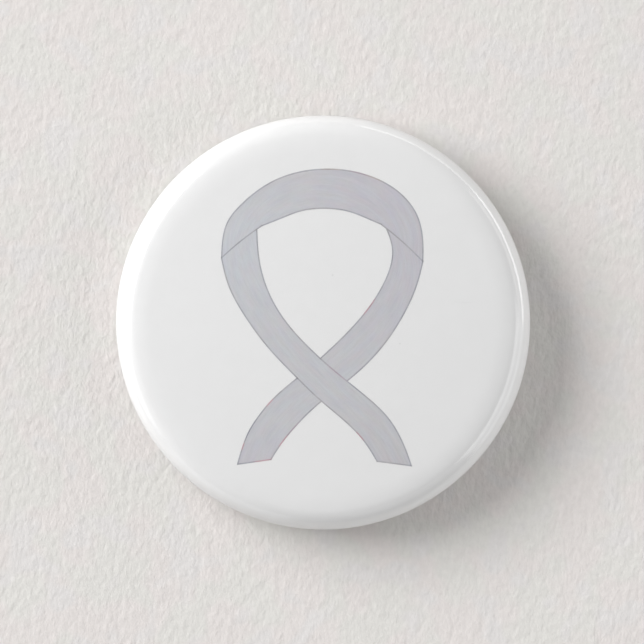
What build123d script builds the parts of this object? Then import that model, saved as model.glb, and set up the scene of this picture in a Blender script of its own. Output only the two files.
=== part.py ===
from build123d import *
import math
import os

# A round pin-back button badge that lies on its back, face up. Millimetres and degrees.
# The origin is at the middle of the flat ring it lies on, +Z out of the printed face
# and +Y towards the top of the printed ribbon.

# The domed front, measured over the clear film
badge_diameter = 31.75
dome_slope = 3.5          # how far the dome has tipped where its rounded border begins
border_radius = 8.4
border_slope = 11.4       # how far the border has tipped where the shoulder begins
shoulder_radius = 1.9
side_height = 0.8         # straight side between the shoulder and the rolled rim
rim_radius = 1.7
rim_flat = 0.65           # the flat ring under the rim, which the badge lies on

# The layers of the front, from the tinplate outwards
shell_gauge = 0.25
paper_thickness = 0.12
ink_thickness = 0.03
film_thickness = 0.08
layer_gap = 0.03
tuck_turn = 50.0          # how far paper and film run round the inside of the rim

# The pressed back plate
plate_gauge = 0.25
plate_gap = 0.04          # between the tucked film and the plate
plate_turn = 35.0         # how far the plate's edge turns up inside the rim
plate_bend = 0.4          # middle radius of the two bends of its step
flange_width = 0.9        # flat of the plate that shows inside the rolled rim
step_slope = 60.0
panel_height = 2.2        # underside of the sunk middle panel over the surface it lies on

# The pin wire
wire_diameter = 0.8
wire_clearance = 0.05     # to the bridges, the catch and the panel
arm_offset = 2.1          # the pin's arm over the badge's middle, so that it hangs upright
leg_spacing = 2.56        # across the wire's U bend, seen from behind
pin_inset = 0.35          # from the ends of the wire to the edge of the panel
point_length = 2.6
point_diameter = 0.12
lock_bend = 0.6           # middle radius of the bend into the locking hole
lock_height = 0.55        # locking end over the top of the panel
lock_clearance = 0.15     # round the wire in the locking hole

# The two bridges over the fixed leg and the catch round the arm, all cut out of the panel
bridge_width = 1.6
bridge_bend = 0.2         # middle radius where a bridge leaves the panel
bridge_from_bend = 3.2    # from the wire's U bend to the first bridge
bridge_from_lock = 2.6    # from the locking hole to the second bridge
catch_width = 2.0
catch_bend = 0.3          # middle radius where the catch leaves the panel
catch_from_point = 2.9    # from the tip of the point to the middle of the catch
catch_lip = 0.2           # the catch's free end over the arm's middle
catch_lift = 0.15         # underside of the catch over the surface the badge lies on
lock_from_catch = 3.2     # from the catch to the locking hole
cut_gap = 0.06            # beside a strip that was cut out of the panel

# The printed ribbon
ribbon_width = 15.5
ribbon_height = 22.95
ribbon_rise = 0.35        # its middle over the badge's middle
outline_width = 0.12      # the line left between two stretches of the ribbon

# The ribbon's edges, as shares of its width across and of its height up, from its middle.
# Where the loop folds over: the outer tip and the inner end of each fold line.
FOLDS = {
    #        tip across, tip up, inner across, inner up
    "left": (-0.506, 0.197, -0.320, 0.297),
    "right": (0.497, 0.185, 0.321, 0.293),
}
# The top of the loop between the two folds, left to right.
CAP_OUTER = [
    # across, up
    (-0.503, 0.240),
    (-0.476, 0.320),
    (-0.405, 0.381),
    (-0.253, 0.457),
    (0.000, 0.499),
    (0.234, 0.475),
    (0.383, 0.418),
    (0.470, 0.340),
    (0.498, 0.240),
]
CAP_INNER = [
    # across, up
    (-0.207, 0.327),
    (-0.100, 0.353),
    (0.000, 0.360),
    (0.120, 0.351),
    (0.236, 0.321),
]
# Where the inner edge of each strand turns down, a little below its fold.
INNER_TURNS = {
    #        across, up
    "left": (-0.310, 0.200),
    "right": (0.334, 0.200),
}
# The two strands below the folds: the front one runs from the left fold to the right foot
# and lies over the back one, which runs from the right fold to the left foot.
STRANDS = [
    # up, front left, front right, back left, back right
    (0.109, -0.472, -0.276, 0.288, 0.467),
    (0.008, -0.393, -0.198, 0.187, 0.400),
    (-0.092, -0.286, -0.071, 0.046, 0.303),
    (-0.192, -0.148, 0.095, -0.123, 0.160),
    (-0.276, -0.019, 0.246, -0.264, 0.004),
    (-0.326, 0.069, 0.320, -0.324, -0.079),
    (-0.376, 0.150, 0.370, -0.371, -0.148),
    (-0.426, 0.212, 0.406, -0.401, -0.207),
]
FEET = {
    #        left across, left up, right across, right up
    "front": (0.262, -0.481, 0.444, -0.497),
    "back": (-0.430, -0.492, -0.253, -0.475),
}


def sine(angle):
    return math.sin(math.radians(angle))


def cosine(angle):
    return math.cos(math.radians(angle))


# Places of the layers, as distances from the middle of the tinplate
paper_inner = shell_gauge / 2 + layer_gap
paper_outer = paper_inner + paper_thickness
ink_inner = paper_outer + layer_gap
ink_outer = ink_inner + ink_thickness
film_inner = ink_outer + layer_gap
film_outer = film_inner + film_thickness

# The line down the middle of the tinplate: dome, border, shoulder, side, rolled rim, flat
quarter_turn = 90.0
shell_lift = film_outer
shell_radius = badge_diameter / 2 - film_outer
border_bend = border_radius - film_outer
shoulder_bend = shoulder_radius - film_outer
rim_bend = rim_radius - film_outer
border_reach = shell_radius - shoulder_bend * (1 - sine(border_slope))
dome_reach = border_reach - border_bend * (sine(border_slope) - sine(dome_slope))
dome_radius = dome_reach / sine(dome_slope)
dome_top = (shell_lift + rim_bend + side_height + shoulder_bend * cosine(border_slope)
            + border_bend * (cosine(dome_slope) - cosine(border_slope))
            + dome_radius * (1 - cosine(dome_slope)))
FACE_RUN = [
    # length, radius, turn
    (0, dome_radius, -dome_slope),
    (0, border_bend, dome_slope - border_slope),
    (0, shoulder_bend, border_slope - quarter_turn),
]
SHELL_RUN = [
    *FACE_RUN,
    (side_height, 0, 0),
    (0, rim_bend, -quarter_turn),
    (rim_flat, 0, 0),
]
FOLD_RUN = [(0, 0, -2 * quarter_turn)]
TUCK_RUN = [(rim_flat, 0, 0), (0, rim_bend, tuck_turn)]

# The back plate's middle line, from the axis out to its turned-up edge
plate_offset = film_outer + plate_gap + plate_gauge / 2
flange_middle = shell_lift + plate_offset
panel_middle = panel_height + plate_gauge / 2
step_bends = 2 * plate_bend * (1 - cosine(step_slope))
step_wall = (panel_middle - flange_middle - step_bends) / sine(step_slope)
step_run = 2 * plate_bend * sine(step_slope) + step_wall * cosine(step_slope)
rim_centre = shell_radius - rim_bend
flange_inner = rim_centre - rim_flat - film_outer - flange_width
panel_radius = flange_inner - step_run

# The pin wire's places
wire_radius = wire_diameter / 2
wire_room = wire_radius + wire_clearance
leg_y = arm_offset - leg_spacing
leg_z = panel_height - wire_room
arm_z = catch_lift + plate_gauge + wire_room
u_bend_radius = math.hypot(leg_spacing, leg_z - arm_z) / 2
pin_reach = panel_radius - pin_inset
u_bend_x = u_bend_radius + wire_radius - pin_reach
point_x = math.sqrt(pin_reach**2 - arm_offset**2)
catch_x = point_x - catch_from_point
lock_x = catch_x - lock_from_catch
bridge_places = (u_bend_x + bridge_from_bend, lock_x - bridge_from_lock)

# The strips cut out of the panel, from the wire's middle to theirs and along them
strip_wall = wire_room + plate_gauge / 2
bridge_half = strip_wall + bridge_bend
catch_root = arm_offset + strip_wall + catch_bend
catch_drop = panel_middle - catch_bend - arm_z
catch_strip = (catch_bend / 2 + strip_wall) * math.pi + catch_drop + catch_lip


def direction(heading):
    """The unit vector that points along a heading."""
    return Vector(1, 0).rotate(Axis.Z, heading)


def run_edges(start, heading, steps, offset=0.0):
    """Edges of a run of straights and arcs, moved to its left, and the place where it ends.

    A step is a length, a radius and a turn: an arc where it turns, else a straight.
    """
    place = Vector(*start) + offset * direction(heading + 90)
    edges = []
    for length, radius, turn in steps:
        if turn:
            side = math.copysign(1, turn)
            arc_radius = radius - side * offset
            centre = place + side * arc_radius * direction(heading + 90)
            edges.append(CenterArc(centre, arc_radius, heading - side * 90, turn))
            heading += turn
            place = centre - side * arc_radius * direction(heading + 90)
        else:
            edges.append(Line(place, place + length * direction(heading)))
            place += length * direction(heading)
    return edges, place


def sheet_section(start, heading, steps, thickness):
    """Section of a sheet of even thickness that follows a run down its middle."""
    half = thickness / 2
    left, left_end = run_edges(start, heading, steps, half)
    right, right_end = run_edges(start, heading, steps, -half)
    across = half * direction(heading + 90)
    start_side = Line(Vector(*start) + across, Vector(*start) - across)
    return make_face(left + right + [start_side, Line(left_end, right_end)])


def layer_section(inner, outer, steps):
    """Section of a layer of the front, from one offset to another off the tinplate's middle."""
    start = (0, dome_top)
    near, near_end = run_edges(start, 0, steps, inner)
    far, far_end = run_edges(start, 0, steps, outer)
    axis_side = Line((0, dome_top + inner), (0, dome_top + outer))
    return make_face(near + far + [axis_side, Line(near_end, far_end)])


def turned(section):
    """A section drawn as radius and height, turned once round the badge's axis."""
    return revolve(Plane.XZ * section, axis=Axis.Z)


def make_shell():
    """The pressed tinplate front, whose rolled edge ends in a rounded rim."""
    start = (0, dome_top)
    outside, _ = run_edges(start, 0, SHELL_RUN + FOLD_RUN, shell_gauge / 2)
    inside, _ = run_edges(start, 0, SHELL_RUN, -shell_gauge / 2)
    axis_side = Line((0, dome_top - shell_gauge / 2), (0, dome_top + shell_gauge / 2))
    return turned(make_face(outside + inside + [axis_side]))


def make_face_paper():
    """The printed paper, laid over the tinplate and tucked round its edge."""
    return turned(layer_section(paper_inner, paper_outer, SHELL_RUN + FOLD_RUN + TUCK_RUN))


def make_film():
    """The clear film over the paper, tucked in with it."""
    return turned(layer_section(film_inner, film_outer, SHELL_RUN + FOLD_RUN + TUCK_RUN))


def ribbon_point(across, up):
    """A point of the ribbon, from its shares of the ribbon's width and height."""
    return across * ribbon_width, up * ribbon_height + ribbon_rise


def ribbon_edge(start, points, end):
    """A smooth edge of the ribbon from one corner to another."""
    return Spline([ribbon_point(*point) for point in (start, *points, end)])


def strand_face(fold, foot, left_column, right_column, widen=0.0):
    """One strand of the ribbon, from its fold line to its foot, widened on both sides."""
    tip, inner = FOLDS[fold][:2], FOLDS[fold][2:]
    foot_left, foot_right = FEET[foot][:2], FEET[foot][2:]
    left_rows = [(row[left_column], row[0]) for row in STRANDS]
    right_rows = [(row[right_column], row[0]) for row in STRANDS]
    if fold == "left":
        left = ribbon_edge(tip, left_rows, foot_left)
        right = ribbon_edge(inner, [INNER_TURNS[fold], *right_rows], foot_right)
    else:
        left = ribbon_edge(inner, [INNER_TURNS[fold], *left_rows], foot_left)
        right = ribbon_edge(tip, right_rows, foot_right)
    left, right = Pos(-widen, 0) * left, Pos(widen, 0) * right
    return make_face([left, right, Line(left @ 0, right @ 0), Line(left @ 1, right @ 1)])


def cap_face():
    """The top of the loop, where the ribbon shows its other side."""
    left_tip, left_inner = FOLDS["left"][:2], FOLDS["left"][2:]
    right_tip, right_inner = FOLDS["right"][:2], FOLDS["right"][2:]
    outer = ribbon_edge(left_tip, CAP_OUTER, right_tip)
    inner = ribbon_edge(left_inner, CAP_INNER, right_inner)
    return make_face([outer, inner, Line(outer @ 0, inner @ 0), Line(outer @ 1, inner @ 1)])


def fold_line(side):
    """The line left open along a fold, as a thin strip that runs a little past both ends."""
    tip_x, tip_y = ribbon_point(*FOLDS[side][:2])
    inner_x, inner_y = ribbon_point(*FOLDS[side][2:])
    length = math.hypot(tip_x - inner_x, tip_y - inner_y) + 4 * outline_width
    slope = math.degrees(math.atan2(tip_y - inner_y, tip_x - inner_x))
    middle = Pos((tip_x + inner_x) / 2, (tip_y + inner_y) / 2)
    return middle * Rot(0, 0, slope) * Rectangle(length, outline_width)


def make_ribbon_print():
    """The ink of the looped ribbon, which follows the face between paper and film.

    The strands cross at half a right angle, so a gap is that much wider along a row.
    """
    front = strand_face("left", "front", 1, 2)
    back = strand_face("right", "back", 3, 4)
    crossing_gap = outline_width * math.sqrt(2)
    over = strand_face("left", "front", 1, 2, widen=crossing_gap)
    folds = [fold_line(side) for side in FOLDS]
    stretches = [cap_face() - folds, front - folds, back - folds - over]
    columns = [extrude(face, amount=2 * dome_top)
               for stretch in stretches for face in stretch.faces()]
    ink_layer = turned(layer_section(ink_inner, ink_outer, FACE_RUN))
    return Compound([(column & ink_layer).solid() for column in columns])


def make_bridge():
    """A strip of the panel pressed out round the fixed leg, in line with the leg."""
    steps = [
        (plate_gauge, 0, 0),
        (0, bridge_bend, -90),
        (strip_wall - bridge_bend, 0, 0),
        (0, strip_wall, 180),
        (strip_wall - bridge_bend, 0, 0),
        (0, bridge_bend, -90),
        (plate_gauge, 0, 0),
    ]
    start = (leg_y - bridge_half - plate_gauge, panel_middle)
    section = sheet_section(start, 0, steps, plate_gauge)
    return extrude(Plane.YZ * section, amount=bridge_width / 2, both=True)


def make_catch():
    """The hook round the arm, which starts above it and opens below it."""
    steps = [
        (plate_gauge, 0, 0),
        (0, catch_bend, 90),
        (catch_drop, 0, 0),
        (0, strip_wall, -180),
        (catch_lip, 0, 0),
    ]
    section = sheet_section((catch_root + plate_gauge, panel_middle), 180, steps, plate_gauge)
    return extrude(Plane.YZ * section, amount=catch_width / 2, both=True)


def window(x, y_low, y_high, width):
    """The hole in the panel that a strip was cut from."""
    block = Box(width + 2 * cut_gap, y_high - y_low, 2 * plate_gauge)
    return Pos(x, (y_low + y_high) / 2, panel_middle) * block


def lock_hole():
    """The slot in the panel that the bent locking end goes up through."""
    bend_inside = lock_bend - wire_radius
    bend_middle_rise = lock_bend - wire_room
    bend_width = lock_bend - math.sqrt(bend_inside**2 - bend_middle_rise**2)
    slot_run = bend_width - wire_radius
    slot = SlotCenterToCenter(slot_run, wire_diameter + 2 * lock_clearance)
    return Pos(lock_x - slot_run / 2, leg_y, panel_height) * extrude(slot, amount=plate_gauge)


def make_back_plate():
    """The pressed back: sunk panel, step, flange and turned-up edge, with what holds the wire."""
    steps = [
        (panel_radius, 0, 0),
        (0, plate_bend, -step_slope),
        (step_wall, 0, 0),
        (0, plate_bend, step_slope),
        (rim_centre - flange_inner, 0, 0),
        (0, rim_bend - plate_offset, plate_turn),
    ]
    plate = turned(sheet_section((0, panel_middle), 0, steps, plate_gauge))
    for x in bridge_places:
        plate -= window(x, leg_y - bridge_half, leg_y + bridge_half, bridge_width)
        plate += Pos(x, 0, 0) * make_bridge()
    plate -= window(catch_x, catch_root - catch_strip, catch_root, catch_width)
    plate += Pos(catch_x, 0, 0) * make_catch()
    return plate - lock_hole()


def make_pin_wire():
    """The bent spring wire: locking end, fixed leg, U bend, arm and point."""
    lock_top = Vector(lock_x, leg_y, panel_height + plate_gauge + lock_height)
    lock_low = Vector(lock_x, leg_y, leg_z + lock_bend)
    leg_end = Vector(lock_x - lock_bend, leg_y, leg_z)
    quarter = lock_bend * (1 - math.sqrt(0.5))
    lock_middle = Vector(lock_x - quarter, leg_y, leg_z + quarter)
    bend_leg = Vector(u_bend_x, leg_y, leg_z)
    bend_arm = Vector(u_bend_x, arm_offset, arm_z)
    bend_middle = (bend_leg + bend_arm) / 2 - Vector(u_bend_radius, 0, 0)
    point_base = Vector(point_x - point_length, arm_offset, arm_z)
    path = Wire([
        Line(lock_top, lock_low),
        ThreePointArc(lock_low, lock_middle, leg_end),
        Line(leg_end, bend_leg),
        ThreePointArc(bend_leg, bend_middle, bend_arm),
        Line(bend_arm, point_base),
    ])
    section = Plane(origin=lock_top, z_dir=(0, 0, -1)) * Circle(wire_radius)
    wire = sweep(section, path=path)
    cone = Cone(wire_radius, point_diameter / 2, point_length)
    point = Pos(point_x - point_length / 2, arm_offset, arm_z) * Rot(0, 90, 0) * cone
    return wire + point


NODES = {
    "shell": make_shell,
    "face_paper": make_face_paper,
    "ribbon_print": make_ribbon_print,
    "film": make_film,
    "back_plate": make_back_plate,
    "pin_wire": make_pin_wire,
}

os.makedirs("parts", exist_ok=True)
for name, make in NODES.items():
    export_step(make(), f"parts/{name}.step")
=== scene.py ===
import math

import bpy
import numpy as np
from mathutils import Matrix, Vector


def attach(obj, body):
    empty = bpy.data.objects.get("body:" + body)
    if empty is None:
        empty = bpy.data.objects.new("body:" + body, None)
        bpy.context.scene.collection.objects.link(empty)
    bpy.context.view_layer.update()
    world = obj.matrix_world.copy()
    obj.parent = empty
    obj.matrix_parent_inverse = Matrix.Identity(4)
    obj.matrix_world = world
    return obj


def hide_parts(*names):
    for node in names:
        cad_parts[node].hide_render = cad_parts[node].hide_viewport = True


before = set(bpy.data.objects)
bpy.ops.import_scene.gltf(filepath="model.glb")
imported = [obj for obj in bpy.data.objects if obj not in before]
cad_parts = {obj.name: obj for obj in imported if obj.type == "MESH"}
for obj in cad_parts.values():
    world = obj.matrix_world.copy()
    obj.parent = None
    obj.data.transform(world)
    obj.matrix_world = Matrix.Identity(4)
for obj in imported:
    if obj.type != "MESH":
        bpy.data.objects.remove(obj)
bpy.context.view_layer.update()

# A round button badge that lies on its back on pale paper, seen from straight above.
# Lengths are in millimetres, and the angles given here in degrees, unless a comment says
# otherwise.
MM = 0.001

# The badge's front, measured over the clear film, as in the part's source
BADGE_RADIUS = 15.875
DOME_SLOPE = 3.5          # how far the dome has tipped where its rounded border begins
BORDER_RADIUS = 8.4
BORDER_SLOPE = 11.4       # how far the border has tipped where the shoulder begins
SHOULDER_RADIUS = 1.9
SIDE_HEIGHT = 0.8
RIM_RADIUS = 1.7
RIM_FLAT = 0.65           # the flat ring under the rim, which the badge lies on
TUCK_TURN = 50.0          # how far paper and film run round the inside of the rim

# Places of the layers, as distances from the middle of the tinplate. The solids of the
# paper, the ink and the film stand a little apart. Here they lie close under the film's
# outside, as pressed layers do, so the white of the paper reaches the badge's edge.
PAPER_INNER = 0.165
PAPER_OUTER = 0.400
INK_INNER = 0.402
FILL_OUTER = 0.404        # top of the coloured ink, under the top of the drawn line
INK_OUTER = 0.406
FILM_INNER = 0.422
FILM_OUTER = 0.445

border_bend = BORDER_RADIUS - FILM_OUTER
shoulder_bend = SHOULDER_RADIUS - FILM_OUTER
rim_bend = RIM_RADIUS - FILM_OUTER
dome_slope, border_slope = math.radians(DOME_SLOPE), math.radians(BORDER_SLOPE)
border_reach = BADGE_RADIUS - FILM_OUTER - shoulder_bend * (1 - math.sin(border_slope))
dome_reach = border_reach - border_bend * (math.sin(border_slope) - math.sin(dome_slope))
dome_radius = dome_reach / math.sin(dome_slope)
dome_top = (FILM_OUTER + rim_bend + SIDE_HEIGHT + shoulder_bend * math.cos(border_slope)
            + border_bend * (math.cos(dome_slope) - math.cos(border_slope))
            + dome_radius * (1 - math.cos(dome_slope)))
dome_centre = dome_top - dome_radius

# The line down the middle of the tinplate, then back along its inside. The crimp says how
# deep the pleats are, from 0 to 1.
FRONT_RUN = [
    # length, radius, turn, points, crimp at the end
    (0, dome_radius, -DOME_SLOPE, 14, 0.0),
    (0, border_bend, DOME_SLOPE - BORDER_SLOPE, 10, 0.0),
    (0, shoulder_bend, BORDER_SLOPE - 90, 28, 0.0),
    (SIDE_HEIGHT, 0, 0, 2, 0.0),
    (0, rim_bend, -90, 16, 0.8),
    (RIM_FLAT, 0, 0, 3, 1.0),
    (0, 0, -180, 10, 1.0),
    (RIM_FLAT, 0, 0, 3, 1.0),
    (0, rim_bend, TUCK_TURN, 8, 1.0),
]
SEGMENTS = 512

# Small pleats where paper and film are drawn in round the rim
PLEATS = 58
PLEAT_DEPTH = 0.035
PLEAT_STRAY = 0.35               # off their even places, as a share of the step between them
PLEAT_HALF_WIDTHS = (0.010, 0.022)       # in radians round the axis
PLEAT_HEIGHTS = (0.35, 1.0)      # as shares of the depth
PLEAT_SEED = 7

# The printed ribbon
RIBBON_WIDTH = 15.5
RIBBON_HEIGHT = 22.95
RIBBON_RISE = 0.35        # its middle over the badge's middle
LINE_INSET = 0.107        # from the ribbon's edge to the middle of its drawn line
LINE_WIDTH = 0.10
FOLD_BOW = 0.08           # how far the fold lines' middles lie out from straight lines
EDGE_STEPS = 120          # points along an edge
CROSSING_STEPS = 20       # points along a line across the ribbon
STRETCH_COLUMNS = 15      # points across a coloured stretch
SPARE_STEPS = 5           # by which an edge is made longer before it is cut

# The ribbon's edges, as shares of its width across and of its height up, from its middle
FOLDS = {
    #        tip across, tip up, inner across, inner up
    "left": (-0.506, 0.197, -0.320, 0.297),
    "right": (0.497, 0.185, 0.302, 0.302),
}
CAP_OUTER = [
    # across, up
    (-0.503, 0.240),
    (-0.476, 0.320),
    (-0.405, 0.381),
    (-0.253, 0.457),
    (0.000, 0.499),
    (0.234, 0.475),
    (0.383, 0.418),
    (0.470, 0.340),
    (0.498, 0.240),
]
CAP_INNER = [
    # across, up
    (-0.207, 0.327),
    (-0.100, 0.353),
    (0.000, 0.360),
    (0.120, 0.351),
    (0.236, 0.321),
]
# Where the inner edge of each strand turns down, a little below its fold
INNER_TURNS = {"left": (-0.310, 0.200), "right": (0.335, 0.232)}
# The two strands below the folds. The front one lies over the back one.
STRANDS = [
    # up, front left, front right, back left, back right
    (0.109, -0.472, -0.276, 0.288, 0.467),
    (0.008, -0.393, -0.198, 0.187, 0.400),
    (-0.092, -0.286, -0.071, 0.046, 0.303),
    (-0.192, -0.148, 0.095, -0.123, 0.160),
    (-0.276, -0.019, 0.246, -0.264, 0.004),
    (-0.326, 0.069, 0.320, -0.324, -0.079),
    (-0.376, 0.150, 0.370, -0.371, -0.148),
    (-0.426, 0.212, 0.406, -0.401, -0.207),
]
STRAND_COLUMNS = {"front": (1, 2), "back": (3, 4)}
STRAND_FOLDS = {"front": "left", "back": "right"}
FEET = {
    #        left across, left up, right across, right up
    "front": (0.262, -0.481, 0.444, -0.497),
    "back": (-0.430, -0.492, -0.253, -0.475),
}
STROKE_MAP = "stroke"     # the UV map with distances along and across a stretch

# The paper and its marks
PAPER_COLOUR = (0.80, 0.80, 0.80)
PAPER_MARKS = [
    # across, up, half length, half width, turn, shade
    (0.73, 3.61, 0.09, 0.09, 0.0, 0.86),
    (5.87, -1.61, 0.09, 0.08, 0.0, 0.87),
    (0.34, 0.00, 0.14, 0.12, 0.0, 1.02),
    (-0.58, 0.54, 0.10, 0.08, 0.0, 0.97),
    (10.80, 1.53, 1.05, 0.05, -2.0, 0.97),
    (-15.32, 0.08, 0.10, 0.08, 0.0, 0.90),
    (-3.10, 2.30, 0.09, 0.07, 0.0, 0.96),
    (7.90, -4.60, 0.08, 0.07, 0.0, 0.96),
]
MARK_CORE = 0.35          # the share of a mark's reach that has its full shade

# The ribbon's inks
BLUE_GREY = (0.562, 0.578, 0.611)
SOFT_GREY = (0.553, 0.556, 0.582)
VIOLET_GREY = (0.540, 0.530, 0.573)
WARM_GREY = (0.534, 0.530, 0.553)
PATCH_GREY = (0.555, 0.548, 0.565)
PATCH_STRENGTH = 0.35
INK_DRIFTS = {
    # piece: its inks from its start to its end
    "ribbon_cap": [BLUE_GREY, SOFT_GREY, VIOLET_GREY, VIOLET_GREY],
    "ribbon_front": [BLUE_GREY, SOFT_GREY, SOFT_GREY, WARM_GREY],
    "ribbon_back_upper": [VIOLET_GREY, SOFT_GREY],
    "ribbon_back_lower": [SOFT_GREY, SOFT_GREY, VIOLET_GREY],
}
# Slight shifts of the ribbon's hue from place to place
BLUER, ROSIER = (0.986, 1.0, 1.014), (1.014, 0.998, 0.986)
PURPLER, GREENER = (1.0, 0.985, 1.0), (1.0, 1.015, 1.0)

# The drawn line, with the places where it is redder, browner or darker
COOL_LINE = (0.39, 0.395, 0.435)
PALE_LINE = (0.415, 0.405, 0.425)
DEEP_LINE = (0.32, 0.32, 0.36)
ROSE_LINE = (0.515, 0.345, 0.385)
PLUM_LINE = (0.425, 0.365, 0.415)
UMBER_LINE = (0.445, 0.40, 0.395)
LINE_TINTS = [
    # across, up, reach, colour
    (3.58, 1.15, 1.00, ROSE_LINE),
    (-4.04, -6.15, 0.50, ROSE_LINE),
    (-4.58, -10.48, 0.90, ROSE_LINE),
    (-3.05, -9.00, 0.75, ROSE_LINE),
    (-2.30, -8.10, 0.90, PLUM_LINE),
    (2.87, -8.63, 0.60, ROSE_LINE),
    (-6.08, -9.47, 0.40, ROSE_LINE),
    (3.60, 11.10, 1.40, UMBER_LINE),
    (2.70, 11.35, 1.00, PLUM_LINE),
    (0.60, 11.80, 1.00, UMBER_LINE),
    (1.20, -3.60, 1.40, PLUM_LINE),
    (-5.65, -8.20, 1.10, DEEP_LINE),
]
TINT_CORE = 0.4           # the share of a tint's reach that has its full colour

# Film, metals and the floor's paper
FILM_GLOSS_INDEX = 1.9    # higher than the film's own, as both of its faces reflect
SHELL_TIN = (0.60, 0.60, 0.58)
SHELL_ROUGHNESS = (0.34, 0.46)
PLATE_TIN = (0.66, 0.66, 0.64)
PLATE_ROUGHNESS = (0.24, 0.38)
WIRE_PLATING = (0.66, 0.64, 0.60)
ROSY_FLOOR = (0.688, 0.654, 0.637)
GREENISH_FLOOR = (0.672, 0.659, 0.633)
BLUISH_FLOOR = (0.675, 0.656, 0.646)
DULL_SHINE = 0.1          # the specular level of paper and dry ink
FLOOR_RADIUS = 1600.0
FLOOR_DROP = 0.02
FLOOR_SEGMENTS = 96

# Parts of a noise's values, which run from 0 to 1
MOST_VALUES = (0.3, 0.7)
PATCH_VALUES = (0.35, 0.65)
SCRATCH_VALUES = (0.62, 0.72)

# Numbers of the Mix node's sockets for colours, whose names stand for other sockets too
MIX_SHARE, MIX_FIRST, MIX_SECOND, MIX_RESULT = 0, 6, 7, 2
WHITE = (1, 1, 1, 1)

# The view
FRAME_PIXELS = 644
FRAME_WIDTH = 49.31       # what the picture takes in at the height of the badge's edge
EDGE_HEIGHT = 1.95
LENS = 600.0
SENSOR = 36.0
CENTRE_SHIFT = (1.05, -0.5)   # of the badge's middle from the picture's, right and up, in pixels
CLIP_RANGE = (0.01, 10.0)     # in metres

# The light
LAMP_DISTANCE = 1.1       # in metres
LAMPS = {
    # name: azimuth, elevation, half angle across, half angle up, brightness
    "key": (152, 26, 24, 10, 10.38),
    "key_top": (155, 42, 16, 6, 7.8),
    "fill_right_low": (20, 4, 20, 4, 5.0),
    "fill_right_middle": (20, 23, 20, 7, 1.05),
    "fill_lower_right_low": (-20, 4, 20, 4, 1.14),
    "fill_lower_right": (-20, 12, 20, 4, 1.62),
    "fill_lower_right_middle": (-20, 23, 20, 7, 0.95),
    "fill_lower_right_high": (-20, 37, 20, 7, 1.95),
    "fill_bottom_right": (-60, 31, 20, 12, 0.35),
    "fill_top_right": (60, 4, 20, 4, 1.8),
    "fill_left": (200, 20, 12, 10, 1.04),
    "fill_below": (240, 12, 20, 12, 0.50),
}
# Left out of reflections, as a polarising filter does, or its glare hides the print
# where the badge is seen from the side
POLARISED_LAMP = "key"
ROOM_BRIGHTNESS = 0.35


def left_of(heading):
    """The unit vectors to the left of headings in radians, as rows of radius and height."""
    return np.stack([-np.sin(heading), np.cos(heading)], axis=-1)


def run_points(offset):
    """Points along the front's run at a distance off the tinplate's middle.

    A row has the point's radius and height, the outward normal's two parts, and the crimp.
    """
    place = np.array([0.0, dome_top])
    heading, crimp = 0.0, 0.0
    rows = [[0.0, dome_top + offset, 0.0, 1.0, 0.0]]
    for length, radius, turn, points, end_crimp in FRONT_RUN:
        share = np.arange(1, points + 1) / points
        if turn:
            side = math.copysign(1, turn)
            centre = place + side * radius * left_of(heading)
            normals = left_of(heading + math.radians(turn) * share)
            spots = centre - side * (radius - side * offset) * normals
            place = centre - side * radius * normals[-1]
            heading += math.radians(turn)
        else:
            along = np.array([math.cos(heading), math.sin(heading)])
            normals = np.tile(left_of(heading), (points, 1))
            spots = place + length * share[:, None] * along + offset * normals
            place = place + length * along
        crimps = crimp + (end_crimp - crimp) * share
        crimp = end_crimp
        rows.extend(np.column_stack([spots, normals, crimps]))
    return np.array(rows)


def pleat_pattern(turns):
    """How far each turn round the axis lies below the crests of the pleats, from 0 to 1."""
    chance = np.random.default_rng(PLEAT_SEED)
    step = 2 * math.pi / PLEATS
    middles = (np.arange(PLEATS) * step
               + chance.uniform(-PLEAT_STRAY, PLEAT_STRAY, PLEATS) * step)
    half_widths = chance.uniform(*PLEAT_HALF_WIDTHS, PLEATS)
    heights = chance.uniform(*PLEAT_HEIGHTS, PLEATS)
    apart = (turns[:, None] - middles + math.pi) % (2 * math.pi) - math.pi
    return 1 - (heights * np.exp(-((apart / half_widths) ** 2))).max(axis=1)


def make_object(name, vertices, faces, flat_faces=()):
    """A piece from vertices in millimetres, smooth apart from its flat faces.

    The edges of the flat faces are sharp, so they don't tilt the shading beside them.
    """
    mesh = bpy.data.meshes.new(name)
    mesh.from_pydata((np.asarray(vertices) * MM).tolist(), [], faces)
    smooth = np.ones(len(faces), bool)
    smooth[list(flat_faces)] = False
    mesh.polygons.foreach_set("use_smooth", smooth)
    mesh.update()
    sharp = np.zeros(len(mesh.edges), bool)
    for number in flat_faces:
        for corner in mesh.polygons[number].loop_indices:
            sharp[mesh.loops[corner].edge_index] = True
    mesh.edges.foreach_set("use_edge_sharp", sharp)
    obj = bpy.data.objects.new(name, mesh)
    bpy.context.scene.collection.objects.link(obj)
    return obj


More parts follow.
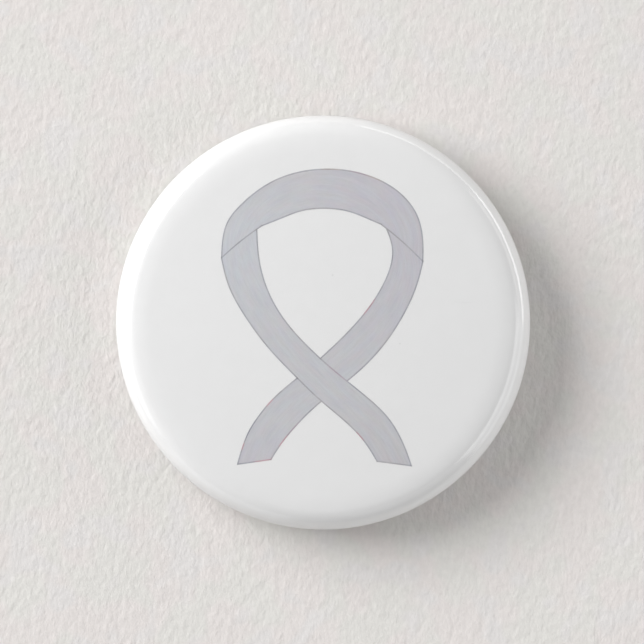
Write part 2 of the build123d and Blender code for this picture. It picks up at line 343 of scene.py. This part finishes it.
def turned_sheet(name, inner, outer):
    """A closed sheet of the front between two offsets, turned round the badge's axis."""
    profile = np.vstack([run_points(outer), run_points(inner)[::-1]])
    turns = np.arange(SEGMENTS) * 2 * math.pi / SEGMENTS
    radius, height, radial_normal, upward_normal, crimp = profile.T[..., None]
    lift = -PLEAT_DEPTH * crimp**2 * pleat_pattern(turns)
    radius = radius + radial_normal * lift
    height = height + upward_normal * lift
    rings = np.stack([radius * np.cos(turns), radius * np.sin(turns), height], axis=-1)[1:-1]
    count = len(rings)
    vertices = np.vstack([rings.reshape(-1, 3), [0, 0, profile[0, 1]], [0, 0, profile[-1, 1]]])
    top, bottom = len(vertices) - 2, len(vertices) - 1
    first = np.arange(SEGMENTS)
    following = (first + 1) % SEGMENTS
    pairs = list(zip(first.tolist(), following.tolist()))
    faces = [(top, a, b) for a, b in pairs]
    for ring in range(count - 1):
        near, far = ring * SEGMENTS, (ring + 1) * SEGMENTS
        corners = np.stack([near + first, far + first, far + following, near + following], axis=1)
        faces.extend(map(tuple, corners.tolist()))
    last = (count - 1) * SEGMENTS
    faces.extend((bottom, last + b, last + a) for a, b in pairs)
    return make_object(name, vertices, faces)


def ribbon_point(across, up):
    """A point of the ribbon, from its shares of the ribbon's width and height."""
    return across * RIBBON_WIDTH, up * RIBBON_HEIGHT + RIBBON_RISE


def straight(corners):
    """The two ends of a straight line, from the four shares that place them."""
    return np.array([ribbon_point(*corners[:2]), ribbon_point(*corners[2:])])


def smooth_line(points, steps=EDGE_STEPS):
    """Even steps along a natural cubic spline through three or more points."""
    points = np.asarray(points, float)
    count = len(points)
    spans = np.hypot(*np.diff(points, axis=0).T)
    knots = np.concatenate([[0], np.cumsum(spans)])
    slopes = np.diff(points, axis=0) / spans[:, None]
    system = np.eye(count)
    target = np.zeros((count, 2))
    for i in range(1, count - 1):
        system[i, i - 1 : i + 2] = spans[i - 1], 2 * (spans[i - 1] + spans[i]), spans[i]
        target[i] = 6 * (slopes[i] - slopes[i - 1])
    bends = np.linalg.solve(system, target)
    where = np.linspace(0, knots[-1], steps)
    i = np.clip(np.searchsorted(knots, where, side="right") - 1, 0, count - 2)
    span = spans[i, None]
    before, after = (where - knots[i])[:, None], (knots[i + 1] - where)[:, None]
    return (bends[i] * after**3 + bends[i + 1] * before**3) / (6 * span) + (
        points[i] / span - bends[i] * span / 6) * after + (
        points[i + 1] / span - bends[i + 1] * span / 6) * before


def moved_left(line, distance):
    """A line of points moved to its own left."""
    along = np.gradient(line, axis=0)
    along /= np.hypot(*along.T)[:, None]
    return line + distance * np.stack([-along[:, 1], along[:, 0]], axis=1)


def ribbon_edge(start, points, end):
    """A smooth edge of the ribbon through shares of its width and height."""
    return smooth_line([ribbon_point(*point) for point in (start, *points, end)])


def strand_edges(strand):
    """The left and right edges of one strand, from its fold line to its foot."""
    fold = STRAND_FOLDS[strand]
    tip, inner = FOLDS[fold][:2], FOLDS[fold][2:]
    left_column, right_column = STRAND_COLUMNS[strand]
    left_rows = [(row[left_column], row[0]) for row in STRANDS]
    right_rows = [(row[right_column], row[0]) for row in STRANDS]
    foot_left, foot_right = FEET[strand][:2], FEET[strand][2:]
    if fold == "left":
        return (ribbon_edge(tip, left_rows, foot_left),
                ribbon_edge(inner, [INNER_TURNS[fold], *right_rows], foot_right))
    return (ribbon_edge(inner, [INNER_TURNS[fold], *left_rows], foot_left),
            ribbon_edge(tip, right_rows, foot_right))


def strand_lines(strand, folds, feet):
    """The lines drawn along the left and right edges of one strand."""
    fold = folds[STRAND_FOLDS[strand]]
    return [trimmed(moved_left(edge, side * LINE_INSET), fold, feet[strand])
            for edge, side in zip(strand_edges(strand), (1, -1))]


def dome_height(points, offset):
    """Height of the dome over points in plan, at an offset off the tinplate's middle."""
    reach = (np.asarray(points) ** 2).sum(axis=-1)
    return dome_centre + np.sqrt((dome_radius + offset) ** 2 - reach)


def stroke_distances(grid):
    """How far along and across a grid each of its points lies."""
    columns = grid.shape[1]
    middle = grid.mean(axis=1)
    along = np.concatenate([[0], np.cumsum(np.hypot(*np.diff(middle, axis=0).T))])
    width = np.hypot(*(grid[:, -1] - grid[:, 0]).T)
    across = np.linspace(0, 1, columns) * width[:, None]
    spots = np.stack([np.repeat(along[:, None], columns, axis=1), across], axis=-1)
    return spots.reshape(-1, 2)


def slab_faces(grid, base):
    """Faces of a slab with a grid's points on top and again below, numbered from a base.

    The first rows are the faces of the top and the bottom, the second those of the walls.
    """
    rows, columns = grid.shape[:2]
    count = rows * columns
    number = np.arange(count).reshape(rows, columns) + base
    corners = number[:-1, :-1], number[1:, :-1], number[1:, 1:], number[:-1, 1:]
    tops = np.stack(corners, axis=-1).reshape(-1, 4)
    ring = np.concatenate([number[0], number[1:, -1], number[-1, -2::-1], number[-2:0:-1, 0]])
    after = np.roll(ring, -1)
    walls = np.stack([ring, after, after + count, ring + count], axis=1)
    along, across = grid[1, 0] - grid[0, 0], grid[0, 1] - grid[0, 0]
    if along[0] * across[1] - along[1] * across[0] < 0:
        tops, walls = tops[:, ::-1], walls[:, [1, 0, 3, 2]]
    return np.vstack([tops, tops[:, ::-1] + count]), walls


def dome_slab(name, grids, low, high):
    """A thin closed slab that lies on the dome over each grid of plan points.

    Its UV map holds the distance along and across a grid in millimetres.
    """
    vertices, faces, flat, strokes = [], [], [], []
    for grid in grids:
        base = len(vertices)
        plan = grid.reshape(-1, 2)
        for offset in (high, low):
            vertices.extend(np.column_stack([plan, dome_height(plan, offset)]))
            strokes.extend(stroke_distances(grid))
        sheets, walls = slab_faces(grid, base)
        faces.extend(map(tuple, sheets.tolist()))
        flat.extend(range(len(faces), len(faces) + len(walls)))
        faces.extend(map(tuple, walls.tolist()))
    obj = make_object(name, vertices, faces, flat)
    layer = obj.data.uv_layers.new(name=STROKE_MAP)
    corners = np.zeros(len(obj.data.loops), int)
    obj.data.loops.foreach_get("vertex_index", corners)
    layer.data.foreach_set("uv", np.asarray(strokes)[corners].ravel())
    return obj


def between(left, right):
    """A grid of plan points between two edges with the same number of points."""
    share = np.linspace(0, 1, STRETCH_COLUMNS)[:, None]
    return left[:, None] * (1 - share) + right[:, None] * share


def side_of(line, points):
    """Which side of a line that runs downwards each point lies on: above 0 to its east."""
    order = np.argsort(line[:, 1])
    return points[..., 0] - np.interp(points[..., 1], line[order, 1], line[order, 0])


def cut_columns(grid, line, keep_first):
    """A grid cut off where each of its columns meets a line, with even rows again."""
    rows, columns = grid.shape[:2]
    cut = np.empty_like(grid)
    for j in range(columns):
        column = grid[:, j]
        beside = side_of(line, column)
        crossing = np.nonzero(np.sign(beside[1:]) != np.sign(beside[:-1]))[0][0]
        share = beside[crossing] / (beside[crossing] - beside[crossing + 1])
        at = crossing + share
        wanted = np.linspace(0, at, rows) if keep_first else np.linspace(at, rows - 1, rows)
        for axis in range(2):
            cut[:, j, axis] = np.interp(wanted, np.arange(rows), column[:, axis])
    return cut


def beyond(end, before, distance):
    """The point at a distance past the end of a line."""
    return end + (end - before) / np.hypot(*(end - before)) * distance


def strip(line):
    """A grid of plan points along a drawn line, a little longer than it at both ends."""
    half = LINE_WIDTH / 2
    longer = np.vstack([beyond(line[0], line[1], half), line, beyond(line[-1], line[-2], half)])
    return np.stack([moved_left(longer, half), moved_left(longer, -half)], axis=1)


def trimmed(line, first_cut, last_cut):
    """The stretch of a line between two straight cuts, with even steps again.

    A cut is two points of the straight line that it follows.
    """
    longer = np.vstack([line[0] + SPARE_STEPS * (line[0] - line[1]), line,
                        line[-1] + SPARE_STEPS * (line[-1] - line[-2])])
    places = []
    for cut, which in ((first_cut, 0), (last_cut, -1)):
        along = np.subtract(cut[1], cut[0])
        apart = longer - cut[0]
        beside = along[0] * apart[:, 1] - along[1] * apart[:, 0]
        i = np.nonzero(np.sign(beside[1:]) != np.sign(beside[:-1]))[0][which]
        places.append(i + beside[i] / (beside[i] - beside[i + 1]))
    wanted = np.linspace(*places, EDGE_STEPS)
    rows = np.arange(len(longer))
    return np.column_stack([np.interp(wanted, rows, longer[:, axis]) for axis in range(2)])


def bowed(start, end, bow=0.0):
    """A line between two points whose middle lies off to its left by a distance."""
    along = (end - start) / np.hypot(*(end - start))
    middle = (start + end) / 2 + bow * np.array([-along[1], along[0]])
    return smooth_line([start, middle, end], CROSSING_STEPS)


def make_ribbon():
    """The printed ribbon: four coloured stretches and the line drawn round them."""
    folds = {side: straight(corners) for side, corners in FOLDS.items()}
    feet = {strand: moved_left(straight(corners), LINE_INSET)
            for strand, corners in FEET.items()}
    cap_outer = ribbon_edge(FOLDS["left"][:2], CAP_OUTER, FOLDS["right"][:2])
    cap_inner = ribbon_edge(FOLDS["left"][2:], CAP_INNER, FOLDS["right"][2:])
    cap_outer = trimmed(moved_left(cap_outer, -LINE_INSET), folds["left"], folds["right"])
    cap_inner = trimmed(moved_left(cap_inner, LINE_INSET), folds["left"], folds["right"])
    front = strand_lines("front", folds, feet)
    back = strand_lines("back", folds, feet)
    upper = cut_columns(between(*back), front[1], keep_first=True)
    lower = cut_columns(between(*back), front[0], keep_first=False)
    grids = {
        "ribbon_cap": between(cap_inner, cap_outer),
        "ribbon_front": between(*front),
        "ribbon_back_upper": upper,
        "ribbon_back_lower": lower,
    }
    pieces = {name: dome_slab(name, [grid], INK_INNER, FILL_OUTER)
              for name, grid in grids.items()}
    lines = [cap_outer, cap_inner, *front, upper[:, 0], upper[:, -1], lower[:, 0], lower[:, -1],
             bowed(cap_outer[0], cap_inner[0], FOLD_BOW),
             bowed(cap_outer[-1], cap_inner[-1], -FOLD_BOW),
             bowed(front[0][-1], front[1][-1]), bowed(back[0][-1], back[1][-1])]
    pieces["ribbon_outline"] = dome_slab("ribbon_outline", [strip(line) for line in lines],
                                         INK_INNER, INK_OUTER)
    return pieces


def new_tree(name):
    """A new material and its empty node tree."""
    material = bpy.data.materials.new(name)
    material.use_nodes = True
    material.node_tree.nodes.clear()
    return material, material.node_tree


def add(tree, kind, inputs=None, **settings):
    """A new node with its settings, whose inputs are set to values or linked to sockets."""
    node = tree.nodes.new(kind)
    for name, value in settings.items():
        setattr(node, name, value)
    for name, value in (inputs or {}).items():
        if isinstance(value, bpy.types.NodeSocket):
            tree.links.new(value, node.inputs[name])
        else:
            node.inputs[name].default_value = value
    return node


def math_node(tree, operation, *values):
    """The result of an operation, as the Math node names it, on numbers or sockets."""
    return add(tree, "ShaderNodeMath", dict(enumerate(values)), operation=operation).outputs[0]


def product(tree, *factors):
    """Numbers or sockets multiplied together."""
    result = factors[0]
    for factor in factors[1:]:
        result = math_node(tree, "MULTIPLY", result, factor)
    return result


def in_millimetres(tree, stretch=(1, 1, 1), turn=0.0, shift=(0, 0, 0)):
    """The object's own coordinates in millimetres, moved, turned about Z and stretched."""
    place = add(tree, "ShaderNodeTexCoord").outputs["Object"]
    if turn or any(shift):
        place = add(tree, "ShaderNodeMapping", {
            "Vector": place,
            "Location": Vector(shift) * MM,
            "Rotation": (0, 0, math.radians(turn)),
        }, vector_type="TEXTURE").outputs[0]
    return add(tree, "ShaderNodeMapping", {
        "Vector": place, "Scale": [size / MM for size in stretch]}).outputs[0]


def spot_distance(tree, across, up, half_length, half_width, turn=0.0):
    """How far off a spot's middle a place lies in plan, where 1 is the spot's edge."""
    place = in_millimetres(tree, stretch=(1 / half_length, 1 / half_width, 0), turn=turn,
                           shift=(across, up, 0))
    return add(tree, "ShaderNodeVectorMath", {0: place}, operation="LENGTH").outputs["Value"]


def stroke_place(tree, along=1.0, across=1.0):
    """The distance along and across a stretch of the ribbon, stretched for a texture."""
    place = add(tree, "ShaderNodeUVMap", uv_map=STROKE_MAP).outputs[0]
    return add(tree, "ShaderNodeMapping", {
        "Vector": place, "Scale": (along, across, 1)}).outputs[0]


def noise(tree, place, scale=1.0, detail=2.0, roughness=0.5):
    """A cloudy pattern of values from 0 to 1."""
    return add(tree, "ShaderNodeTexNoise", {
        "Vector": place, "Scale": scale, "Detail": detail, "Roughness": roughness,
    }).outputs["Fac"]


def remap(tree, value, low, high, to_low, to_high, smooth=False):
    """A value's place between two numbers, carried over to two others and held there."""
    return add(tree, "ShaderNodeMapRange", {
        "Value": value, "From Min": low, "From Max": high, "To Min": to_low, "To Max": to_high,
    }, interpolation_type="SMOOTHSTEP" if smooth else "LINEAR").outputs[0]


def spread(tree, value, low, high):
    """Most values of a noise, spread from a low to a high number."""
    return remap(tree, value, *MOST_VALUES, low, high)


def share_between(tree, value, low, high):
    """How far a value has come from a low to a high number, from 0 to 1."""
    return remap(tree, value, low, high, 0.0, 1.0)


def mixed(tree, share, first, second, blend="MIX"):
    """Two colours mixed by a share. A colour is a socket or three numbers."""
    node = add(tree, "ShaderNodeMix", data_type="RGBA", blend_type=blend)
    for number, value in ((MIX_SHARE, share), (MIX_FIRST, first), (MIX_SECOND, second)):
        if isinstance(value, bpy.types.NodeSocket):
            tree.links.new(value, node.inputs[number])
        else:
            node.inputs[number].default_value = value if number == MIX_SHARE else (*value, 1)
    return node.outputs[MIX_RESULT]


def tinted(tree, colour, tint):
    """A colour multiplied by another."""
    return mixed(tree, 1.0, colour, tint, "MULTIPLY")


def shaded(tree, colour, shade):
    """A colour made lighter or darker by a number about 1."""
    grey = add(tree, "ShaderNodeCombineColor", {"Red": shade, "Green": shade, "Blue": shade})
    return tinted(tree, colour, grey.outputs[0])


def bump(tree, height, distance):
    """Normals for a relief, where a height of 1 stands for the distance."""
    return add(tree, "ShaderNodeBump", {
        "Height": height, "Distance": distance * MM, "Strength": 1.0}).outputs[0]


def output(tree, shader):
    """Makes a shader the material's surface."""
    add(tree, "ShaderNodeOutputMaterial", {"Surface": shader})


def surface(tree, inputs):
    """Makes a principled shader with these inputs the material's surface."""
    output(tree, add(tree, "ShaderNodeBsdfPrincipled", inputs).outputs[0])


def paper_material():
    """Matt white paper, a little uneven, with the specks and the scuff of the photograph."""
    material, tree = new_tree("white_paper")
    cloudy = noise(tree, in_millimetres(tree), scale=0.8, detail=3.0, roughness=0.6)
    grain = noise(tree, in_millimetres(tree), scale=7.0, detail=2.0, roughness=0.6)
    shade = product(tree, spread(tree, cloudy, 0.993, 1.007), spread(tree, grain, 0.994, 1.006))
    for across, up, half_length, half_width, turn, mark_shade in PAPER_MARKS:
        apart = spot_distance(tree, across, up, half_length, half_width, turn)
        mark = remap(tree, apart, MARK_CORE, 1.0, mark_shade, 1.0, smooth=True)
        shade = product(tree, shade, mark)
    surface(tree, {
        "Base Color": shaded(tree, PAPER_COLOUR, shade),
        "Roughness": spread(tree, grain, 0.8, 0.95),
        "Specular IOR Level": DULL_SHINE,
        "Normal": bump(tree, grain, 0.003),
    })
    return material


def film_material():
    """Clear polyester: see-through, with a gloss that grows towards its edges."""
    material, tree = new_tree("clear_film")
    wavy = noise(tree, in_millimetres(tree), scale=0.45, detail=2.0)
    scuffs = noise(tree, in_millimetres(tree, stretch=(0.5, 6.0, 1.0), turn=12.0),
                   detail=4.0, roughness=0.7)
    gloss = add(tree, "ShaderNodeBsdfGlossy", {
        "Color": WHITE,
        "Roughness": remap(tree, scuffs, 0.35, 0.75, 0.16, 0.24),
        "Normal": bump(tree, wavy, 0.02),
    }, distribution="GGX").outputs[0]
    clear = add(tree, "ShaderNodeBsdfTransparent", {"Color": WHITE}).outputs[0]
    edge_gloss = add(tree, "ShaderNodeFresnel", {"IOR": FILM_GLOSS_INDEX}).outputs[0]
    inside = add(tree, "ShaderNodeNewGeometry").outputs["Backfacing"]
    share = product(tree, edge_gloss, math_node(tree, "SUBTRACT", 1.0, inside))
    output(tree, add(tree, "ShaderNodeMixShader", {0: share, 1: clear, 2: gloss}).outputs[0])
    return material


def ink_drift(tree, drift, length):
    """The colour that runs evenly through some inks over the length of a stretch."""
    along = add(tree, "ShaderNodeSeparateXYZ", {0: stroke_place(tree)}).outputs[0]
    ramp = add(tree, "ShaderNodeValToRGB", {"Fac": math_node(tree, "DIVIDE", along, length)})
    stops = ramp.color_ramp.elements
    for i in range(1, len(drift) - 1):
        stops.new(i / (len(drift) - 1))
    for stop, ink in zip(stops, drift):
        stop.color = (*ink, 1)
    return ramp.outputs[0]


def ink_material(name, drift, length):
    """Soft pencil colour: streaks along the ribbon, a slow drift of hue and a little grain."""
    material, tree = new_tree(name)
    long_streaks = noise(tree, stroke_place(tree, 0.35, 5.0), detail=3.0, roughness=0.6)
    short_streaks = noise(tree, stroke_place(tree, 1.6, 9.0), detail=2.0, roughness=0.6)
    broad_strokes = noise(tree, stroke_place(tree, 0.5, 2.2), detail=1.0)
    grain = noise(tree, in_millimetres(tree), scale=6.0, detail=3.0, roughness=0.7)
    patches = noise(tree, stroke_place(tree, 0.35, 0.7), detail=1.0)
    warm_patches = noise(tree, stroke_place(tree, 0.5, 1.6), detail=1.0)
    green_patches = noise(tree, stroke_place(tree, 0.8, 1.2), scale=1.3, detail=1.0)
    colour = mixed(tree, remap(tree, patches, *PATCH_VALUES, 0.0, PATCH_STRENGTH),
                   ink_drift(tree, drift, length), PATCH_GREY)
    warmth = share_between(tree, warm_patches, *PATCH_VALUES)
    greenness = share_between(tree, green_patches, *PATCH_VALUES)
    colour = tinted(tree, colour, mixed(tree, warmth, BLUER, ROSIER))
    colour = tinted(tree, colour, mixed(tree, greenness, PURPLER, GREENER))
    shade = product(tree, spread(tree, long_streaks, 0.965, 1.035),
                    spread(tree, short_streaks, 0.98, 1.02),
                    spread(tree, grain, 0.985, 1.015),
                    spread(tree, broad_strokes, 0.984, 1.016))
    surface(tree, {
        "Base Color": shaded(tree, colour, shade),
        "Roughness": spread(tree, grain, 0.75, 0.9),
        "Specular IOR Level": DULL_SHINE,
        "Normal": bump(tree, grain, 0.002),
    })
    return material


def line_material():
    """The drawn line: greyish violet blue, uneven, with reddish stretches."""
    material, tree = new_tree("drawn_line")
    uneven = noise(tree, in_millimetres(tree), scale=1.1, detail=3.0, roughness=0.6)
    hue = noise(tree, in_millimetres(tree), scale=0.35, detail=1.0)
    colour = mixed(tree, share_between(tree, hue, 0.4, 0.62), COOL_LINE, PALE_LINE)
    for across, up, reach, tint in LINE_TINTS:
        apart = spot_distance(tree, across, up, reach, reach)
        strength = remap(tree, apart, TINT_CORE, 1.0, 1.0, 0.0, smooth=True)
        colour = mixed(tree, strength, colour, tint)
    surface(tree, {
        "Base Color": shaded(tree, colour, spread(tree, uneven, 0.86, 1.14)),
        "Roughness": spread(tree, uneven, 0.7, 0.85),
        "Specular IOR Level": DULL_SHINE,
    })
    return material


def tinplate_material(name, colour, roughness_range):
    """Tinned steel sheet: rolling lines one way, a faint mottle and fine scratches."""
    material, tree = new_tree(name)
    rolled = noise(tree, in_millimetres(tree, stretch=(0.12, 9.0, 1.0), turn=20.0),
                   detail=4.0, roughness=0.65)
    mottle = noise(tree, in_millimetres(tree), scale=0.6, detail=3.0, roughness=0.55)
    scratches = noise(tree, in_millimetres(tree, stretch=(14.0, 0.25, 1.0), turn=-35.0),
                      detail=2.0)
    shade = product(tree, spread(tree, mottle, 0.93, 1.05),
                    remap(tree, scratches, *SCRATCH_VALUES, 1.0, 0.9))
    roughness = math_node(tree, "ADD", spread(tree, rolled, *roughness_range),
                          spread(tree, mottle, -0.04, 0.04))
    height = math_node(tree, "ADD", rolled, remap(tree, scratches, *SCRATCH_VALUES, 0.0, -0.8))
    surface(tree, {
        "Base Color": shaded(tree, colour, shade),
        "Metallic": 1.0,
        "Roughness": roughness,
        "Normal": bump(tree, height, 0.004),
    })
    return material


def wire_material():
    """Bright plated spring wire with faint drawing lines along it."""
    material, tree = new_tree("plated_wire")
    drawn = noise(tree, in_millimetres(tree, stretch=(0.2, 12.0, 12.0)),
                  detail=3.0, roughness=0.6)
    mottle = noise(tree, in_millimetres(tree), scale=1.5, detail=3.0, roughness=0.6)
    surface(tree, {
        "Base Color": shaded(tree, WIRE_PLATING, spread(tree, mottle, 0.9, 1.06)),
        "Metallic": 1.0,
        "Roughness": spread(tree, drawn, 0.16, 0.3),
        "Normal": bump(tree, drawn, 0.003),
    })
    return material


def floor_material():
    """Pale warm paper with short upright fibres pressed into it and faint patches of hue."""
    material, tree = new_tree("pale_paper")
    fibres = noise(tree, in_millimetres(tree, stretch=(2.1, 1.3, 1.0), turn=-2.0),
                   detail=2.0, roughness=0.6)
    streaks = noise(tree, in_millimetres(tree, stretch=(2.6, 1.5, 1.0), turn=-8.0,
                                         shift=(15, 25, 0)), detail=2.0, roughness=0.6)
    pits = noise(tree, in_millimetres(tree, stretch=(1.2, 0.7, 1.0), turn=-12.0), detail=2.0)
    soft = noise(tree, in_millimetres(tree), scale=0.12, detail=2.0)
    rosy = noise(tree, in_millimetres(tree), scale=0.28, detail=1.0)
    bluish = noise(tree, in_millimetres(tree, shift=(30, 40, 0)), scale=0.33, detail=1.0)
    colour = mixed(tree, share_between(tree, rosy, 0.44, 0.56), GREENISH_FLOOR, ROSY_FLOOR)
    colour = mixed(tree, share_between(tree, bluish, 0.54, 0.64), colour, BLUISH_FLOOR)
    shade = product(tree, spread(tree, soft, 0.993, 1.007), spread(tree, streaks, 0.965, 1.035))
    surface(tree, {
        "Base Color": shaded(tree, colour, shade),
        "Roughness": 0.95,
        "Specular IOR Level": DULL_SHINE,
        "Normal": bump(tree, math_node(tree, "ADD", fibres, pits), 0.070),
    })
    return material


def make_floor():
    """A large round sheet just under the badge."""
    turns = np.arange(FLOOR_SEGMENTS) * 2 * math.pi / FLOOR_SEGMENTS
    ring = np.column_stack([FLOOR_RADIUS * np.cos(turns), FLOOR_RADIUS * np.sin(turns),
                            np.full(FLOOR_SEGMENTS, -FLOOR_DROP)])
    floor = make_object("floor", ring, [tuple(range(FLOOR_SEGMENTS))], [0])
    floor.data.materials.append(floor_material())


def make_camera():
    """A long lens straight above, framed as the photograph is."""
    pixel = FRAME_WIDTH / FRAME_PIXELS
    data = bpy.data.cameras.new("camera")
    data.lens, data.sensor_width = LENS, SENSOR
    data.clip_start, data.clip_end = CLIP_RANGE
    camera = bpy.data.objects.new("camera", data)
    height = EDGE_HEIGHT + FRAME_WIDTH * LENS / SENSOR
    camera.location = Vector((-CENTRE_SHIFT[0] * pixel, -CENTRE_SHIFT[1] * pixel, height)) * MM
    bpy.context.scene.collection.objects.link(camera)
    bpy.context.scene.camera = camera


def make_lamp(name, azimuth, elevation, across, up, brightness):
    """A soft rectangular lamp that faces the badge."""
    data = bpy.data.lights.new(name, "AREA")
    data.shape = "RECTANGLE"
    data.size = 2 * LAMP_DISTANCE * math.tan(math.radians(across))
    data.size_y = 2 * LAMP_DISTANCE * math.tan(math.radians(up))
    data.energy = math.pi * data.size * data.size_y * brightness
    lamp = bpy.data.objects.new(name, data)
    turn, rise = math.radians(azimuth), math.radians(elevation)
    lamp.location = LAMP_DISTANCE * Vector((
        math.cos(turn) * math.cos(rise), math.sin(turn) * math.cos(rise), math.sin(rise)))
    lamp.rotation_euler = lamp.location.to_track_quat("Z", "Y").to_euler()
    lamp.visible_camera = False
    lamp.visible_glossy = name != POLARISED_LAMP
    bpy.context.scene.collection.objects.link(lamp)


def make_lights():
    """Two soft key lamps at the upper left, weaker fills round about and a dim room."""
    for name, settings in LAMPS.items():
        make_lamp(name, *settings)
    world = bpy.data.worlds.new("room")
    world.use_nodes = True
    tree = world.node_tree
    tree.nodes.clear()
    room = add(tree, "ShaderNodeBackground", {"Color": WHITE, "Strength": ROOM_BRIGHTNESS})
    add(tree, "ShaderNodeOutputWorld", {"Surface": room.outputs[0]})
    bpy.context.scene.world = world
    bpy.context.scene.view_settings.view_transform = "Standard"


paper = turned_sheet("paper_disc", PAPER_INNER, PAPER_OUTER)
paper.data.materials.append(paper_material())
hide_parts("face_paper")

film = turned_sheet("film_sheet", FILM_INNER, FILM_OUTER)
film.data.materials.append(film_material())
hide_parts("film")

ribbon = make_ribbon()
for name, piece in ribbon.items():
    if name == "ribbon_outline":
        piece.data.materials.append(line_material())
    else:
        length = max(point.uv[0] for point in piece.data.uv_layers[STROKE_MAP].data)
        piece.data.materials.append(ink_material(name + "_ink", INK_DRIFTS[name], length))
    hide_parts("ribbon_print")

for piece in (paper, film, *ribbon.values()):
    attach(piece, "root")

CAD_MATERIALS = {
    "shell": tinplate_material("shell_tinplate", SHELL_TIN, SHELL_ROUGHNESS),
    "back_plate": tinplate_material("plate_tinplate", PLATE_TIN, PLATE_ROUGHNESS),
    "pin_wire": wire_material(),
}
for node, material in CAD_MATERIALS.items():
    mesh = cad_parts[node].data
    mesh.materials.clear()
    mesh.materials.append(material)

make_floor()
make_camera()
make_lights()

bpy.context.view_layer.update()
